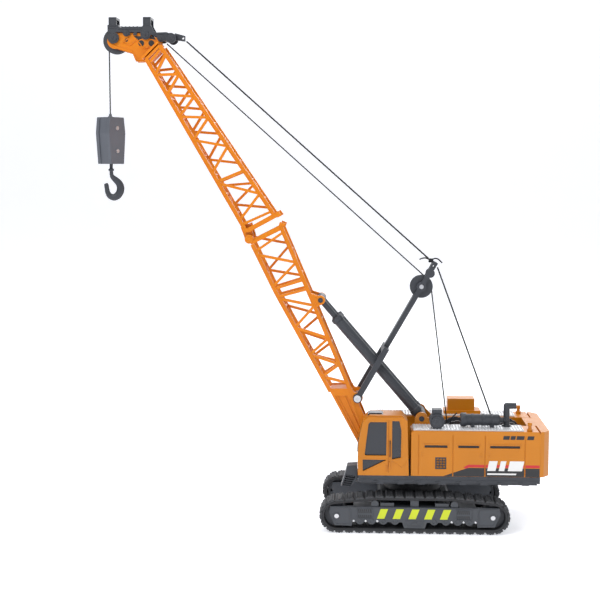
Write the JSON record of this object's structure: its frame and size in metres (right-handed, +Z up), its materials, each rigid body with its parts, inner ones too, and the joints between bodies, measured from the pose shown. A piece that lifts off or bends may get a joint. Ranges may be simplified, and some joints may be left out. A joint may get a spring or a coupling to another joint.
{
  "type": "toy crawler crane",
  "caption": "Toy crawler crane: tracked base, slewing body with cab, folding lattice boom, telescoping strut, mast, winch lines and hook block.",
  "frame": {"origin": "on the ground, directly under the slewing axis; the flat underside of the pivot cap lies on that axis 1.5 mm above it", "axes": "+X forward, towards the hook; +Y to the cab side; +Z up along the slewing axis"},
  "size_m": [0.2673, 0.069, 0.2994],
  "materials": {
    "die_cast_orange": "smooth orange paint on a zinc casting",
    "boom_orange": "bright orange moulded plastic, satin",
    "dark_casting": "dark grey paint on a zinc casting",
    "dark_plastic": "dark grey moulded plastic",
    "grey_plastic": "mid grey moulded plastic",
    "belt_rubber": "soft black rubber",
    "steel": "plain bright pins and screws",
    "glazing": "smoke-grey clear plastic insert",
    "checker_plate": "silver painted tread plate",
    "cord_grey": "twisted grey cord"
  },
  "bodies": {
    "undercarriage": {"carbody": "dark_casting", "pivot_cap": "dark_plastic", "slew_ring": "dark_plastic", "left_track_frame": "dark_casting", "right_track_frame": "dark_casting", "left_track_belt": "belt_rubber", "right_track_belt": "belt_rubber", "track_axle_pins": "steel"},
    "left_idler_wheel": {"left_idler": "dark_plastic"},
    "right_idler_wheel": {"right_idler": "dark_plastic"},
    "left_sprocket_wheel": {"left_sprocket": "dark_plastic"},
    "right_sprocket_wheel": {"right_sprocket": "dark_plastic"},
    "superstructure": {"platform": "dark_casting", "pivot_screw": "steel", "front_steps": "dark_plastic", "cab_shell": "die_cast_orange", "cab_glazing": "glazing", "left_housing": "die_cast_orange", "right_housing": "die_cast_orange", "counterweight": "die_cast_orange", "left_walkway": "checker_plate", "right_walkway": "checker_plate", "side_box": "die_cast_orange", "muffler": "dark_plastic", "exhaust_pipe": "dark_plastic", "air_cleaner": "dark_plastic", "strut_clevis": "die_cast_orange", "clevis_pin": "dark_plastic", "winch_brackets": "dark_plastic", "left_grille": "dark_plastic", "hoist_line_rear": "cord_grey", "luff_line_rear": "cord_grey"},
    "hoist_drum": {"hoist_winch": "dark_plastic"},
    "luff_drum": {"luff_winch": "dark_plastic"},
    "lower_boom": {"boom_lower_left": "boom_orange", "boom_lower_right": "boom_orange", "boom_lower_cross": "boom_orange", "mast_screws": "steel", "strut_top_pin": "dark_plastic"},
    "strut_barrel": {"strut_barrels": "dark_plastic"},
    "strut_rod": {"strut_rods": "dark_plastic"},
    "upper_boom": {"boom_upper_left": "boom_orange", "boom_upper_right": "boom_orange", "boom_upper_cross": "boom_orange", "head_cheeks": "boom_orange", "head_cover": "dark_plastic", "upper_pins": "dark_plastic", "hoist_line_head": "cord_grey"},
    "tip_wheel": {"tip_sheave": "dark_plastic"},
    "mast_arm": {"mast": "dark_plastic", "mast_sheave_pin": "steel", "hoist_line_front": "cord_grey", "pendant_line": "cord_grey", "line_knot": "cord_grey"},
    "mast_wheel": {"mast_sheave": "dark_plastic"},
    "hanging_line": {"drop_line": "cord_grey"},
    "hook_block": {"hook_block_core": "grey_plastic", "hook_block_cheeks": "grey_plastic", "hook_block_pins": "steel"},
    "swivel_hook": {"hook": "dark_plastic"}
  },
  "joints": [
    {"name": "slew", "type": "hinge", "parent": "undercarriage", "child": "superstructure", "pos_m": [0, 0, 0.0283], "axis": [0, 0, 1], "continuous": true},
    {"name": "left_drive", "type": "hinge", "parent": "undercarriage", "child": "left_sprocket_wheel", "pos_m": [-0.0452, 0.027, 0.01015], "axis": [0, 1, 0], "continuous": true},
    {"name": "left_idler_turn", "type": "hinge", "parent": "undercarriage", "child": "left_idler_wheel", "pos_m": [0.0452, 0.027, 0.01015], "axis": [0, 1, 0], "continuous": true},
    {"name": "right_drive", "type": "hinge", "parent": "undercarriage", "child": "right_sprocket_wheel", "pos_m": [-0.0452, -0.027, 0.01015], "axis": [0, 1, 0], "continuous": true},
    {"name": "right_idler_turn", "type": "hinge", "parent": "undercarriage", "child": "right_idler_wheel", "pos_m": [0.0452, -0.027, 0.01015], "axis": [0, 1, 0], "continuous": true},
    {"name": "boom_luff", "type": "hinge", "parent": "superstructure", "child": "lower_boom", "pos_m": [0.026, 0, 0.043], "axis": [0, -1, 0], "range_deg": [-15, 10], "deforming": ["hoist_line_rear", "luff_line_rear"]},
    {"name": "strut_swing", "type": "hinge", "parent": "superstructure", "child": "strut_barrel", "pos_m": [-0.0045, 0, 0.0639], "axis": [0, -1, 0], "range_deg": [-15, 10]},
    {"name": "strut_top_pivot", "type": "hinge", "parent": "lower_boom", "child": "strut_rod", "pos_m": [0.0556, 0, 0.1337], "axis": [0, -1, 0], "range_deg": [-3, 3]},
    {"name": "boom_fold", "type": "hinge", "parent": "lower_boom", "child": "upper_boom", "pos_m": [0.0978, 0, 0.1697], "axis": [0, -1, 0], "range_deg": [-15, 6.5]},
    {"name": "mast_swing", "type": "hinge", "parent": "lower_boom", "child": "mast_arm", "pos_m": [0.0335, 0, 0.0754], "axis": [0, -1, 0], "range_deg": [-10.5, 5], "deforming": ["hoist_line_front", "pendant_line"]},
    {"name": "luff_winch_turn", "type": "hinge", "parent": "superstructure", "child": "luff_drum", "pos_m": [-0.0557, 0, 0.051], "axis": [0, -1, 0], "range_deg": [-80, 182]},
    {"name": "line_plumb", "type": "hinge", "parent": "upper_boom", "child": "hanging_line", "pos_m": [0.177, 0, 0.286], "axis": [0, -1, 0], "range_deg": [-10.5, 15.5]},
    {"name": "hoist", "type": "slide", "parent": "hanging_line", "child": "hook_block", "axis": [0, 0, -1], "range_m": [-0.028, 0.12], "deforming": ["drop_line"]},
    {"name": "hoist_winch_turn", "type": "hinge", "parent": "superstructure", "child": "hoist_drum", "pos_m": [-0.026, 0, 0.051], "axis": [0, -1, 0], "continuous": true},
    {"name": "mast_sheave_turn", "type": "hinge", "parent": "mast_arm", "child": "mast_wheel", "pos_m": [-0.00409, 0, 0.14133], "axis": [0, -1, 0], "continuous": true},
    {"name": "tip_sheave_turn", "type": "hinge", "parent": "upper_boom", "child": "tip_wheel", "pos_m": [0.177, 0, 0.286], "axis": [0, -1, 0], "continuous": true},
    {"name": "hook_swivel", "type": "hinge", "parent": "hook_block", "child": "swivel_hook", "pos_m": [0.1814, 0, 0.2139], "axis": [0, 0, 1], "continuous": true}
  ],
  "couplings": [
    {"joint": "left_idler_turn", "follows": "left_drive", "ratio": 1},
    {"joint": "right_idler_turn", "follows": "right_drive", "ratio": 1},
    {"joint": "strut_swing", "follows": "boom_luff", "ratio": 0.941},
    {"joint": "strut_top_pivot", "follows": "boom_luff", "ratio": -0.059},
    {"joint": "line_plumb", "follows": "boom_luff", "ratio": -1},
    {"joint": "mast_swing", "follows": "boom_fold", "ratio": 0.678},
    {"joint": "luff_winch_turn", "follows": "boom_fold", "ratio": -12},
    {"joint": "hoist_winch_turn", "follows": "hoist", "rad_per_m": 217.39},
    {"joint": "mast_sheave_turn", "follows": "hoist", "rad_per_m": -172.41},
    {"joint": "tip_sheave_turn", "follows": "hoist", "rad_per_m": -227.27}
  ]
}
